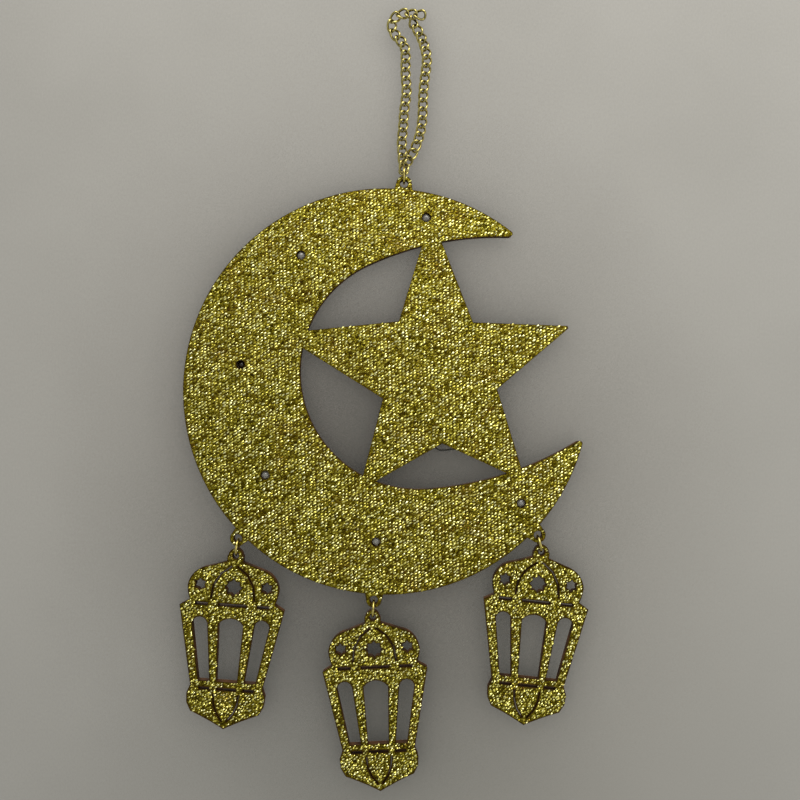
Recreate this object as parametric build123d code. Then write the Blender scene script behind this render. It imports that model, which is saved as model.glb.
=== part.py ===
from build123d import *
import math
import os

# Hanging ornament: a crescent with a star in it, three lanterns below and a chain above,
# cut from board with a glitter fabric face, with a battery string of lights on its back.
# Sizes are in millimetres. X runs to the right as seen from the front, Z up, the front faces -Y.
# Pieces are laid out about the centre of the crescent's outer circle, with Y = 0 in the middle of
# the board and its facing. At the end the layout moves so that the hook's seat is the origin.

# Sheet that the panel and the lanterns are cut from
board = 2.5
facing = 0.4
stack = board + facing
back_face = stack / 2
glue_line = back_face - board

# Crescent
crescent_radius = 70.0
inner_radius = 40.6
inner_centre = Vector(10.85, 6.8)
upper_flare = 114.8  # where the round inner edge turns into the flatter run to each horn, degrees
lower_flare = 273.6
upper_horn = 51.2
lower_horn = -14.4
horn_width = 1.5
horn_blunt = 0.45

# Star, about its own centre. Four arms run into the crescent and the fifth ends free.
star_centre = inner_centre + Vector(6.15, 0.2)
top_arm = 91.6
left_arm = 166.4
lower_left_arm = 237.4
lower_right_arm = 309.1
free_arm = 18.4
top_root = 9.6
left_root = 8.9
lower_left_root = 5.1
lower_right_root = 5.0
free_arm_reach = 49.2
free_arm_blunt = 1.2
star_notches = ((126.3, 21.3), (207.5, 20.4), (275.5, 25.0), (343.8, 22.1), (52.4, 21.2))

# Tabs with ring holes round the crescent's edge
hang_tab = 85.1
lantern_tabs = {"left": -51.18, "middle": -4.27, "right": 52.31}  # across from the crescent's centre
tab_stand = 2.0
tab_hole = 1.45
tab_rim = 1.2
tab_flare = 1.1
tab_bed = 3.0
tab_sides = 16

# Jump rings
ring_radius = 2.75
ring_wire = 0.85
ring_sides = 6
ring_steps = 24
ring_gap = 0.1
ring_split = 4.0  # degrees between the butted ends
ring_tilts = {"left": -6.5, "middle": -4.5, "right": 12.0}

# Lanterns, measured down from the middle of the tab hole and out from the middle line
lantern_tilts = {"left": -4.2, "middle": 2.7, "right": -6.0}
lantern_hole = 1.2
neck_drop = 2.1
neck_half = 2.7
dome_height = 14.0
dome_half = 15.65
dome_base_half = 14.6
slope_half = 9.3
slope_drop = 2.25
dome_cut = 1.95
dome_turn = 2.45
dome_steps = 8
shoulder_rise = 5.0
shoulder_cut = 0.3
ledge_height = 2.0
ledge_half = 18.0
body_height = 27.3
body_foot_half = 12.35
bowl_height = 14.4
bowl_half = 13.5
chin_half = 11.7
chin_drop = 8.9
lip_rise = 3.0
slit = 0.65
slit_steps = 3
dome_slit = ((0.9, 12.5), (6.1, 7.4), (7.5, 0.8))
leaf_slit = ((4.35, 2.6), (3.4, 8.1), (0.7, 12.1))
band_slit = 1.1
band_slit_rise = 0.9
window_head = 3.5
window_sill = 1.6
middle_window = (4.4, 3.65)
side_window = (8.0, 13.5, 5.9, 10.0)
arch_rise = 2.3
arch_steps = 6
upper_bands = ((0.0, 9.8), (10.65, 4.5), (-10.65, 4.5))
lower_bands = ((0.0, 6.8), (7.6, 4.0), (-7.6, 4.0))
rosette = (3.1, 2.35)
rosette_points = 8
rosette_rise = 5.0
side_rosette = (2.25, 1.6)
side_rosette_points = 6
side_rosette_out = 11.5
side_rosette_rise = 5.5

# Chain of curb links, each a wire loop with its ends twisted opposite ways
link_long = 2.15
link_wide = 1.44
link_twist = 0.85
link_wire = 0.72
link_sides = 4
link_stations = 10
link_pitch = 3.0
end_link_gap = 0.6

# Lamps, their wire and the glue that holds them
lamps = ((77.0, 8.4, 347.0), (122.0, 14.5, 32.0), (169.5, 18.9, 79.5), (214.6, 19.2, 124.6),
         (266.1, 18.0, 176.1), (320.4, 9.5, 268.0))
lamp_hole = 1.55
lamp_gap = 0.1
lamp_sides = 12
lamp_tail = 0.6
lamp_dome = ((0.9, 20.0), (0.45, 50.0))  # height and slope of the bands of the dome
lamp_recess = 0.3
deep_lamp = 2
deep_lamp_recess = 1.3
chip = (1.1, 0.7, 0.5)
chip_gap = 0.05
wire = 0.6
wire_sides = 4
wire_gap = 0.05
bend_share = 0.45  # how much of a straight run a bend may take
lamp_run = 9.0
dab_rim = 2.0
dab_cover = 0.8
dab_slope = 35.0

# Battery box on the back of the star
box_offset = Vector(2.0, 0.6)
box_long = 37.0
box_wide = 25.0
box_deep = 10.8
box_wall = 1.3
box_floor = 1.2
box_round = 2.0
pad_long = 28.0
pad_wide = 16.0
pad_deep = 1.0
lid_deep = 1.4
lid_lip = 0.8
lid_groove = 0.7
lid_gap = 0.15
grips = 4
grip_pitch = 1.6
grip_wide = 0.8
grip_long = 15.0
grip_deep = 0.4
grip_inset = 3.0
cell_radius = 10.0
cell_deep = 3.2
cell_sides = 40
cell_gap = 0.3
spring_rise = 0.8
spring_long = 10.6
strip_deep = 0.3
strip_wide = 5.0
rib_deep = 1.0
switch_long = 8.6
switch_wide = 4.2
switch_deep = 3.8
knob_long = 1.8
knob_wide = 1.4
knob_out = 1.4
knob_foot = 2.6
knob_foot_deep = 1.6
knob_travel = 2.0
knob_gap = 0.2


def polar(radius, degrees):
    turn = math.radians(degrees)
    return Vector(radius * math.cos(turn), radius * math.sin(turn))


def sheet(outline, back, thickness):
    # an outline drawn in X and Z becomes a plate that reaches forward from its back face
    plane = Plane(origin=(0, back, 0), x_dir=(1, 0, 0), z_dir=(0, -1, 0))
    return extrude(plane * outline, amount=thickness)


def upright(point, depth):
    # a point of the layout, given in X and Z, at a depth along Y
    return Vector(point.X, depth, point.Y)


def block(size, centre):
    return Pos(*centre) * Box(*size)


def round_hole(radius):
    # a small hole with flat sides that a circle of this radius just fits in
    return RegularPolygon(radius, lamp_sides, major_radius=False)


def ring_hole(radius):
    # the same with a flat at the bottom, where a ring bears
    return Rot(0, 0, 180 / lamp_sides) * round_hole(radius)


def bend(arc, steps):
    # a curve in equal straight steps
    return Polyline(*[arc @ (step / steps) for step in range(steps + 1)])


# Crescent outline: outer circle, blunt horns, and an inner edge that is round and then flares

upper_start = inner_centre + polar(inner_radius, upper_flare)
lower_start = inner_centre + polar(inner_radius, lower_flare)
upper_tip = polar(crescent_radius - horn_width, upper_horn)
lower_tip = polar(crescent_radius - horn_width, lower_horn)


def flare_circle(start, tip):
    # the circle that leaves the round inner edge smoothly at start and passes through tip
    inward = (inner_centre - start).normalized()
    chord = tip - start
    radius = chord.dot(chord) / (2 * inward.dot(chord))
    return start + inward * radius, radius


def crescent_outline():
    sweep_round = 360 + lower_horn - upper_horn
    edges = [
        CenterArc((0, 0), crescent_radius, upper_horn, sweep_round),
        Line(polar(crescent_radius, lower_horn), lower_tip),
        TangentArc(lower_start, lower_tip, tangent=polar(1, lower_flare + 90)),
        CenterArc(inner_centre, inner_radius, upper_flare, lower_flare - upper_flare),
        TangentArc(upper_start, upper_tip, tangent=polar(1, upper_flare - 90)),
        Line(upper_tip, polar(crescent_radius, upper_horn)),
    ]
    face = make_face(edges)
    horns = [corner for corner in face.vertices()
             if Vector(corner.X, corner.Y).get_angle(upper_tip) < 0.5
             or Vector(corner.X, corner.Y).get_angle(lower_tip) < 0.5]
    return chamfer(horns, length=horn_blunt)


def reach_past(circle, degrees, root):
    # how far an arm reaches to go past a circle by its root
    centre, radius = circle
    ray = polar(1, degrees)
    away = star_centre - centre
    along = away.dot(ray)
    return -along + math.sqrt(along ** 2 - away.dot(away) + radius ** 2) + root


def star_outline():
    inner_circle = (inner_centre, inner_radius)
    arms = (
        (top_arm, reach_past(flare_circle(upper_start, upper_tip), top_arm, top_root)),
        (left_arm, reach_past(inner_circle, left_arm, left_root)),
        (lower_left_arm, reach_past(inner_circle, lower_left_arm, lower_left_root)),
        (lower_right_arm,
         reach_past(flare_circle(lower_start, lower_tip), lower_right_arm, lower_right_root)),
        (free_arm, free_arm_reach),
    )
    corners = []
    for (arm, reach), (notch, depth) in zip(arms, star_notches):
        corners += [star_centre + polar(reach, arm), star_centre + polar(depth, notch)]
    face = make_face(Polyline(*corners, close=True))
    free_tip = star_centre + polar(free_arm_reach, free_arm)
    tip = face.vertices().sort_by_distance((free_tip.X, free_tip.Y, 0))[0]
    return chamfer(tip, length=free_arm_blunt)


def tab_centre(degrees):
    return polar(crescent_radius + tab_stand, degrees)


def lantern_tab(side):
    # the bearing on the crescent's lower edge at a lantern tab's distance across
    return -math.degrees(math.acos(lantern_tabs[side] / (crescent_radius + tab_stand)))


def tab_outline(degrees):
    rim = tab_hole + tab_rim
    root = -tab_stand - tab_bed
    neck = make_face(Polyline((rim, 0), (rim + tab_flare, root), (-rim - tab_flare, root),
                              (-rim, 0), close=True))
    place = Location(tab_centre(degrees)) * Rot(0, 0, degrees - 90)
    return place * (RegularPolygon(rim, tab_sides) + neck)


def lamp_centre(lamp):
    degrees, inset, _ = lamp
    return polar(crescent_radius - inset, degrees)


def panel_outline():
    outline = crescent_outline() + star_outline()
    tabs = [hang_tab, *[lantern_tab(side) for side in lantern_tabs]]
    for degrees in tabs:
        outline += tab_outline(degrees)
    for degrees in tabs:
        outline -= Location(tab_centre(degrees)) * ring_hole(tab_hole)
    for lamp in lamps:
        outline -= Location(lamp_centre(lamp)) * round_hole(lamp_hole)
    return outline


# Lantern outline, drawn with its tab hole at the origin

dome_base = neck_drop + dome_height
ledge = dome_base + ledge_height
body_foot = ledge + body_height
lantern_foot = body_foot + bowl_height


def lantern_side():
    # the right half of the outline, from the neck down to the bottom point
    neck = (neck_half, -neck_drop)
    slope = (slope_half, -(neck_drop + slope_drop))
    turn = (dome_half - dome_cut, -(neck_drop + slope_drop + dome_turn))
    shoulder = (dome_half, -(dome_base - shoulder_rise))
    dome_foot = (dome_base_half, -dome_base)
    foot = (body_foot_half, -body_foot)
    chin = (chin_half, -(body_foot + chin_drop))
    return [
        Line((0, -neck_drop), neck),
        Line(neck, slope),
        bend(ThreePointArc(slope, turn, shoulder), dome_steps),
        bend(ThreePointArc(shoulder, (dome_half - shoulder_cut, -(dome_base - shoulder_rise / 2)), dome_foot),
             slit_steps),
        Line(dome_foot, (ledge_half, -ledge)),
        Line((ledge_half, -ledge), foot),
        bend(ThreePointArc(foot, (bowl_half, -(body_foot + chin_drop / 2)), chin), slit_steps),
        bend(ThreePointArc(chin, (chin_half / 2, -(lantern_foot - lip_rise)), (0, -lantern_foot)),
             dome_steps),
        Line((0, -lantern_foot), (0, -neck_drop)),
    ]


def window(left_top, right_top, left_foot, right_foot):
    # a tapered window with an arched head
    head = -(ledge + window_head + arch_rise)
    sill = -(body_foot - window_sill)
    middle = (left_top + right_top) / 2
    return make_face([
        Line((left_foot, sill), (left_top, head)),
        bend(ThreePointArc((left_top, head), (middle, head + arch_rise), (right_top, head)), arch_steps),
        Line((right_top, head), (right_foot, sill)),
        Line((right_foot, sill), (left_foot, sill)),
    ])


def rosette_hole(outer, inner, points):
    corners = []
    for step in range(2 * points):
        corners.append(polar(inner if step % 2 else outer, 90 + 180 * step / points))
    return make_face(Polyline(*corners, close=True))


def lantern_outline():
    half = make_face(lantern_side())
    neck = Pos(0, -neck_drop / 2) * Rectangle(2 * neck_half, neck_drop)
    tab = RegularPolygon(lantern_hole + tab_rim, tab_sides) + neck
    outline = half + mirror(half, Plane.YZ) + tab
    outline -= ring_hole(lantern_hole)
    top, foot = middle_window
    outline -= window(-top, top, -foot, foot)
    near_top, far_top, near_foot, far_foot = side_window
    outline -= window(near_top, far_top, near_foot, far_foot)
    outline -= window(-far_top, -near_top, -far_foot, -near_foot)
    for middle, length in upper_bands:
        outline -= Pos(middle, -ledge + band_slit_rise) * Rectangle(length, band_slit)
    for middle, length in lower_bands:
        outline -= Pos(middle, -body_foot - band_slit_rise) * Rectangle(length, band_slit)
    outline -= Pos(0, -dome_base + rosette_rise) * rosette_hole(*rosette, rosette_points)
    for side in (1, -1):
        side_hole = rosette_hole(*side_rosette, side_rosette_points)
        outline -= Pos(side * side_rosette_out, -dome_base + side_rosette_rise) * side_hole
        dome_arc = ThreePointArc(*[(side * out, rise - dome_base) for out, rise in dome_slit])
        leaf_arc = ThreePointArc(*[(side * out, -body_foot - drop) for out, drop in leaf_slit])
        outline -= trace(bend(dome_arc, slit_steps), line_width=slit)
        outline -= trace(bend(leaf_arc, slit_steps), line_width=slit)
    return outline


# Rings stand square to the sheet. Each one bears on the edges of the holes that it goes through.

hole_edge = math.sqrt((ring_radius - ring_wire / 2 - ring_gap) ** 2 - back_face ** 2)


def flat_wire(sections, sides, width, closed):
    # a wire of flat faces that joins a row of cross-sections
    corners = [polar(width / 2, 360 * corner / sides) for corner in range(sides)]
    rings = [[section.from_local_coords(corner) for corner in corners] for section in sections]
    faces = [] if closed else [Face(Wire.make_polygon(end)) for end in (rings[0], rings[-1])]
    for ring, after in zip(rings, rings[1:] + rings[:1] if closed else rings[1:]):
        for near, far in zip(range(sides), [*range(1, sides), 0]):
            faces.append(Face(Wire.make_polygon([ring[near], ring[far], after[far]])))
            faces.append(Face(Wire.make_polygon([ring[near], after[far], after[near]])))
    return Solid(Shell(faces))


def ring():
    # a jump ring about the origin, in the plane of Y and Z, with its ends butted at the back
    sections = []
    for step in range(ring_steps + 1):
        turn = math.radians(ring_split / 2 + (360 - ring_split) * step / ring_steps)
        out = Vector(0, math.cos(turn), math.sin(turn))
        along = Vector(0, -math.sin(turn), math.cos(turn))
        sections.append(Plane(origin=out * ring_radius, x_dir=out, z_dir=along))
    return flat_wire(sections, ring_sides, ring_wire, False)


def down(degrees):
    # straight down, swung to the right by an angle
    return polar(1, degrees - 90)


def ring_centre(side):
    return tab_centre(lantern_tab(side)) + down(ring_tilts[side]) * (hole_edge + tab_hole)


def lantern_centre(side):
    return ring_centre(side) + down(ring_tilts[side]) * (hole_edge + lantern_hole)


hang_ring_centre = tab_centre(hang_tab) + Vector(0, hole_edge + tab_hole)


# Chain: both strands start on the hang ring, and the right one closes through a link of the left one.
# Its points are measured from the inside of the ring's top, the depth to the back.

ring_top = hang_ring_centre + Vector(0, ring_radius - ring_wire / 2)
left_route = ((-0.4, -1.2, 3.1), (-0.6, -0.3, 6.4), (-0.7, 0, 9.3), (-0.3, 0, 14.0), (0.2, 0, 20.8),
              (0.9, 0, 26.8), (0.6, 0, 32.3), (0.6, 0, 38.3), (0.1, 0, 42.4), (-2.1, 0, 45.4),
              (-4.0, 0, 48.2), (-3.7, 0, 51.4), (-1.1, 0, 53.5), (2.2, 0, 53.6), (5.4, 0, 53.3))
right_route = ((1.2, 1.9, 3.0), (3.4, 0.5, 6.3), (4.2, -0.4, 7.9), (5.8, 0, 13.0), (6.7, 0, 25.7),
               (7.5, 0, 33.3), (7.9, 0, 38.8), (7.2, 0.4, 42.4), (6.19, 1.12, 45.71), (4.65, 1.25, 48.63))
left_end = (Vector(0.4, -1.58, 0), -13.0, 11.0)  # where a strand's first link bears, its lean and its roll
right_end = (Vector(-0.4, 1.58, 0), 11.7, 24.5)
closing_link = (Vector(3.04, 0.57, 51.24), -18.7, 35.3)
closing_tilt = -0.28
hook_seat = ring_top + Vector(-0.95, 50.8)


def link():
    # a closed wire of flat faces that follows a twisted oval
    sections = []
    for step in range(link_stations):
        turn = 2 * math.pi * step / link_stations
        place = Vector(link_long * math.cos(turn), link_wide * math.sin(turn),
                       link_twist * math.sin(2 * turn))
        along = Vector(-link_long * math.sin(turn), link_wide * math.cos(turn),
                       2 * link_twist * math.cos(2 * turn)).normalized()
        sections.append(Plane(origin=place, x_dir=place - along * place.dot(along), z_dir=along))
    return flat_wire(sections, link_sides, link_wire, True)


def link_place(centre, along, roll):
    # a link with its length along a line, its face to the front, and a roll about its length
    across = Vector(0, -1, 0).cross(along)
    face = Plane(origin=centre, x_dir=along, z_dir=along.cross(across))
    return Location((ring_top.X, 0, ring_top.Y)) * face.location * Rot(roll, 0, 0)


def end_link(end):
    bearing, lean, roll = end
    along = upright(polar(1, 90 - lean), 0)
    inside = ring_radius - ring_wire / 2
    drop = inside - math.sqrt((inside - link_wire / 2) ** 2 - bearing.Y ** 2) + end_link_gap
    return link_place(bearing + along * link_long - Vector(0, 0, drop), along, roll)


def strand(route):
    path = Spline(*[Vector(*point) for point in route])
    steps = round(path.length / link_pitch)
    places = []
    for step in range(steps + 1):
        distance = path.length * step / steps
        places.append(link_place(path.position_at(distance, position_mode=PositionMode.LENGTH),
                                 path.tangent_at(distance, position_mode=PositionMode.LENGTH), 0))
    return places


def chain(places):
    shape = link()
    return Compound(children=[place * shape for place in places])


# Lamps sit in their holes from behind, on one wire that runs along the back

lamp_radius = lamp_hole - lamp_gap
tail = back_face + lamp_tail
wire_depth = tail + wire_gap + wire / 2


def lamp_place(lamp):
    # the lamp's axis stands on the sheet, with local X along the wire
    _, _, heading = lamp
    run = upright(polar(1, heading), 0)
    return Plane(origin=upright(lamp_centre(lamp), 0), x_dir=run, z_dir=(0, 1, 0)).location


def chip_block(gap):
    long, wide, deep = chip
    return Pos(0, 0, tail - deep / 2) * Box(long + 2 * gap, wide + 2 * gap, deep + 2 * gap)


def lamp_body(number):
    # a clear bulb with its dome to the front and its chip let into the tail
    tip = -back_face + (deep_lamp_recess if number == deep_lamp else lamp_recess)
    shoulder = tip + sum(height for height, _ in lamp_dome)
    bulb = Pos(0, 0, shoulder) * extrude(RegularPolygon(lamp_radius, lamp_sides), tail - shoulder)
    radius = lamp_radius
    for height, slope in lamp_dome:
        band = extrude(RegularPolygon(radius, lamp_sides), height, taper=slope)
        bulb += Pos(0, 0, shoulder) * Rot(180, 0, 0) * band
        shoulder -= height
        radius -= height * math.tan(math.radians(slope)) / math.cos(math.pi / lamp_sides)
    return bulb - chip_block(chip_gap)


def glue_dab():
    # a drop of glue over the lamp's tail and the wire
    outline = RegularPolygon(lamp_hole + dab_rim, lamp_sides)
    height = wire_depth + wire / 2 + dab_cover - back_face
    dab = Pos(0, 0, back_face) * extrude(outline, height, taper=dab_slope)
    bulb = Pos(0, 0, back_face) * extrude(RegularPolygon(lamp_hole, lamp_sides), lamp_tail)
    channel_side = wire + 2 * wire_gap
    channel = Pos(0, 0, wire_depth) * Box(4 * (lamp_hole + dab_rim), channel_side, channel_side)
    return dab - bulb - channel


# Battery box, laid out about its own centre on the star's back

box_centre = star_centre + box_offset
box_front = back_face + pad_deep
box_back = box_front + box_deep
floor_top = box_front + box_floor
lid_back = box_back - lid_lip
lid_front = lid_back - lid_deep
inner_long = box_long - 2 * box_wall
inner_wide = box_wide - 2 * box_wall
cell_x = -inner_long / 2 + cell_gap + cell_radius
rib_x = cell_x + cell_radius + cell_gap + strip_deep + rib_deep / 2
switch_x = (rib_x + rib_deep / 2 + inner_long / 2) / 2
switch_z = inner_wide / 2 - switch_wide / 2
switch_y = floor_top + switch_deep / 2
wire_exit = Vector(-4.0, -box_wide / 2)
exit_depth = floor_top + wire_gap + wire / 2


def span(x, y, z):
    # a block given by its lowest and highest value on each axis, about the box's centre
    size = (x[1] - x[0], y[1] - y[0], z[1] - z[0])
    return block(size, ((x[0] + x[1]) / 2, (y[0] + y[1]) / 2, (z[0] + z[1]) / 2))


def in_box(shape):
    return Location(upright(box_centre, 0)) * shape


def battery_case():
    shell = span((-box_long / 2, box_long / 2), (box_front, box_back), (-box_wide / 2, box_wide / 2))
    shell = fillet(shell.edges().filter_by(Axis.Y), radius=box_round)
    inner_x = (-inner_long / 2, inner_long / 2)
    inner_z = (-inner_wide / 2, inner_wide / 2)
    shell -= span(inner_x, (floor_top, box_back), inner_z)
    # grooves that the lid slides in, and the end that it slides out of
    groove = inner_wide / 2 + lid_groove
    lid_room = (lid_front - lid_gap, lid_back + lid_gap)
    shell -= span((-inner_long / 2, box_long), lid_room, (-groove, groove))
    shell -= span((0, box_long), (lid_front - lid_gap, box_back), inner_z)
    rib = span((rib_x - rib_deep / 2, rib_x + rib_deep / 2), (floor_top, floor_top + cell_deep), inner_z)
    slot = knob_long + knob_travel + 2 * knob_gap
    slot_x = (switch_x - slot / 2, switch_x + slot / 2)
    slot_y = (switch_y - knob_wide / 2 - knob_gap, switch_y + knob_wide / 2 + knob_gap)
    shell -= span(slot_x, slot_y, (inner_wide / 2, box_wide))
    exit_hole = block((wire + 2 * wire_gap, wire + 2 * wire_gap, 4 * box_wall),
                      (wire_exit.X, exit_depth, wire_exit.Y))
    return in_box(shell + rib - exit_hole)


def battery_lid():
    edge = inner_wide / 2 + lid_groove - lid_gap
    plate = span((-inner_long / 2 + lid_gap, box_long / 2), (lid_front, lid_back), (-edge, edge))
    for step in range(grips):
        grip = box_long / 2 - grip_inset - grip_pitch * step
        plate -= span((grip - grip_wide / 2, grip + grip_wide / 2), (lid_back - grip_deep, box_back),
                      (-grip_long / 2, grip_long / 2))
    return in_box(plate)


def coin_cell(front):
    cell = extrude(RegularPolygon(cell_radius, cell_sides), cell_deep)
    return in_box(Pos(cell_x, front, 0) * Rot(-90, 0, 0) * cell)


def contact_spring():
    # a bowed leaf on the floor of the box under the cells
    reach = spring_long / 2
    top = floor_top + spring_rise
    bow = [
        ThreePointArc((-reach, floor_top), (0, top), (reach, floor_top)),
        Line((reach, floor_top), (reach - 2 * strip_deep, floor_top)),
        ThreePointArc((reach - 2 * strip_deep, floor_top), (0, top - strip_deep),
                      (-reach + 2 * strip_deep, floor_top)),
        Line((-reach + 2 * strip_deep, floor_top), (-reach, floor_top)),
    ]
    leaf = extrude(make_face(bow), amount=strip_wide / 2, both=True)
    return in_box(Pos(cell_x, 0, 0) * leaf)


def contact_strip():
    # a strip that stands against the rib, at the cells' side
    face_x = rib_x - rib_deep / 2
    rise = span((face_x - strip_deep, face_x), (floor_top, floor_top + 2 * cell_deep),
                (-strip_wide / 2, strip_wide / 2))
    return in_box(rise)


def switch_body():
    case = span((switch_x - switch_long / 2, switch_x + switch_long / 2),
                (floor_top, floor_top + switch_deep),
                (switch_z - switch_wide / 2, switch_z + switch_wide / 2))
    length = knob_foot + knob_travel + 2 * knob_gap
    channel = span((switch_x - length / 2, switch_x + length / 2),
                   (switch_y - knob_wide / 2 - knob_gap, switch_y + knob_wide / 2 + knob_gap),
                   (inner_wide / 2 - knob_foot_deep - 2 * knob_gap, inner_wide))
    return in_box(case - channel)


def switch_knob():
    # stored at the off end of its travel
    x = switch_x - knob_travel / 2
    depth = (switch_y - knob_wide / 2, switch_y + knob_wide / 2)
    foot_top = inner_wide / 2 - knob_gap
    foot = span((x - knob_foot / 2, x + knob_foot / 2), depth, (foot_top - knob_foot_deep, foot_top))
    stem = span((x - knob_long / 2, x + knob_long / 2), depth, (foot_top, box_wide / 2 + knob_out))
    return in_box(foot + stem)


def foam_pad():
    return in_box(span((-pad_long / 2, pad_long / 2), (back_face, box_front),
                       (-pad_wide / 2, pad_wide / 2)))


# Wire: from the spring out of the box, across the star's lower notch, then round the crescent

exit_run = 3.0
wire_points = ((15.4, 0.9, -12.9), (15.8, 0, -18.2), (18.4, 0, -20.9), (24.4, 0, -19.7),
               (32.0, 0, -21.9), (39.6, 0, -25.6))


def wire_route():
    way_out = box_centre + wire_exit
    route = [
        Vector(way_out.X, exit_depth, box_centre.Y - strip_wide / 2 - cell_gap),
        Vector(way_out.X, exit_depth, way_out.Y - exit_run),
    ]
    route += [Vector(x, wire_depth + lift, z) for x, lift, z in wire_points]
    for number, lamp in reversed(list(enumerate(lamps))):
        centre = lamp_centre(lamp)
        run = polar(lamp_run, lamp[2])
        route.append(upright(centre - run, wire_depth))
        route.append(upright(centre + run, wire_depth) if number else upright(centre, wire_depth))
    return route


def lamp_wire():
    route = wire_route()
    radii = []
    for before, corner, after in zip(route, route[1:], route[2:]):
        turn = math.radians((corner - before).get_angle(after - corner))
        shorter = min((corner - before).length, (after - corner).length)
        radii.append(bend_share * shorter / math.tan(turn / 2))
    path = FilletPolyline(*route, radius=radii)
    section = Plane(origin=path @ 0, x_dir=(1, 0, 0), z_dir=path % 0) * RegularPolygon(wire / 2, wire_sides)
    tube = sweep(section, path=path)
    print("wire radii", [round(radius, 1) for radius in radii])
    print("wire length", round(path.length, 1), "volume ratio",
          round(tube.volume / (path.length * section.area), 4))
    return tube


parts = {}
panel = panel_outline()
parts["crescent_board"] = sheet(panel, back_face, board)
parts["crescent_facing"] = sheet(panel, glue_line, facing)

lantern = lantern_outline()
for side in lantern_tabs:
    hang = Location(upright(lantern_centre(side), 0)) * Rot(0, -lantern_tilts[side], 0)
    parts[f"lantern_{side}_board"] = hang * sheet(lantern, back_face, board)
    parts[f"lantern_{side}_facing"] = hang * sheet(lantern, glue_line, facing)
    place = Location(upright(ring_centre(side), 0)) * Rot(0, -ring_tilts[side], 0)
    parts[f"lantern_{side}_ring"] = place * ring()
parts["hang_ring"] = Location(upright(hang_ring_centre, 0)) * ring()
centre, lean, roll = closing_link
closing = link_place(centre, upright(polar(1, 90 - lean), closing_tilt).normalized(), roll)
parts["chain_left_strand"] = chain([end_link(left_end), *strand(left_route)])
parts["chain_right_strand"] = chain([end_link(right_end), *strand(right_route), closing])

for number, lamp in enumerate(lamps):
    parts[f"lamp_{number + 1}"] = lamp_place(lamp) * lamp_body(number)
parts["lamp_chips"] = Compound(children=[lamp_place(lamp) * chip_block(0) for lamp in lamps])
parts["glue_dabs"] = Compound(children=[lamp_place(lamp) * glue_dab() for lamp in lamps])
parts["lamp_wire"] = lamp_wire()

first_cell = floor_top + spring_rise
parts["foam_pad"] = foam_pad()
parts["battery_case"] = battery_case()
parts["battery_lid"] = battery_lid()
parts["coin_cell_front"] = coin_cell(first_cell)
parts["coin_cell_rear"] = coin_cell(first_cell + cell_deep)
parts["contact_spring"] = contact_spring()
parts["contact_strip"] = contact_strip()
parts["switch_body"] = switch_body()
parts["switch_knob"] = switch_knob()

os.makedirs("parts", exist_ok=True)
to_hook = Location(-upright(hook_seat, 0))
for name, shape in parts.items():
    export_step(to_hook * shape, f"parts/{name}.step")

print("hang hole", upright(tab_centre(hang_tab) - hook_seat, 0))
print("hang ring", upright(hang_ring_centre - hook_seat, 0))
for side in lantern_tabs:
    print(side, "tab hole", upright(tab_centre(lantern_tab(side)) - hook_seat, 0),
          "ring", upright(ring_centre(side) - hook_seat, 0),
          "lantern hole", upright(lantern_centre(side) - hook_seat, 0))
print("box", upright(box_centre - hook_seat, 0), "back", round(box_back, 2))
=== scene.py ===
import math
import bmesh
import bpy
import numpy as np
from mathutils import Matrix, Vector, noise


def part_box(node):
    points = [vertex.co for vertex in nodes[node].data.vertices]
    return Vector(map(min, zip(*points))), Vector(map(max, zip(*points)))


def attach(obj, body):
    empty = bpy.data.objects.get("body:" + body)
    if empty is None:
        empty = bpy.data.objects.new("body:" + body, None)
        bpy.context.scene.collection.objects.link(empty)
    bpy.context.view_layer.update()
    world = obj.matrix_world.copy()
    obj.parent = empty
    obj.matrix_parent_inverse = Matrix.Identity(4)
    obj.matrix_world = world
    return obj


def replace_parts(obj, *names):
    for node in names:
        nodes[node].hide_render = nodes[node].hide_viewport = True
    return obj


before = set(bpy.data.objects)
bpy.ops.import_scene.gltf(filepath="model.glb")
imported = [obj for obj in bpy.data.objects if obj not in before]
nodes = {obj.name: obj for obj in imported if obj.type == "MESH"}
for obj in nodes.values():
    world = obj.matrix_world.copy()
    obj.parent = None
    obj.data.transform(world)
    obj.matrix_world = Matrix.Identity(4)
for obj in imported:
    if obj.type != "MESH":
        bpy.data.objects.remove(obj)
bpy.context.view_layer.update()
scene = bpy.context.scene
scene.view_settings.view_transform = "Standard"
mm = 0.001
weld = 0.001 * mm  # corners closer than this are one
stageMiddle = (0, 0, -0.13)
print("frame loaded:", len(nodes), "nodes")


# node tree helpers
def addNode(tree, kind, **settings):
    node = tree.nodes.new(kind)
    for key, value in settings.items():
        setattr(node, key, value)
    return node


def plug(tree, value, socket):
    if isinstance(value, bpy.types.NodeSocket):
        tree.links.new(value, socket)
    else:
        socket.default_value = value


def addSocket(tree, label, kind, value=None, way="INPUT"):
    socket = tree.interface.new_socket(label, in_out=way, socket_type="NodeSocket" + kind)
    if value is not None:
        socket.default_value = value


def maths(tree, operation, *values):
    node = addNode(tree, "ShaderNodeMath", operation=operation)
    for value, socket in zip(values, node.inputs):
        plug(tree, value, socket)
    return node.outputs[0]


def vectorMaths(tree, operation, first, second):
    node = addNode(tree, "ShaderNodeVectorMath", operation=operation)
    plug(tree, first, node.inputs[0])
    plug(tree, second, node.inputs["Scale"] if operation == "SCALE" else node.inputs[1])
    return node.outputs[0]


def xyz(tree, x=0.0, y=0.0, z=0.0):
    node = addNode(tree, "ShaderNodeCombineXYZ")
    for value, socket in zip((x, y, z), node.inputs):
        plug(tree, value, socket)
    return node.outputs[0]


def splitXyz(tree, vector):
    node = addNode(tree, "ShaderNodeSeparateXYZ")
    plug(tree, vector, node.inputs[0])
    return node.outputs


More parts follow.
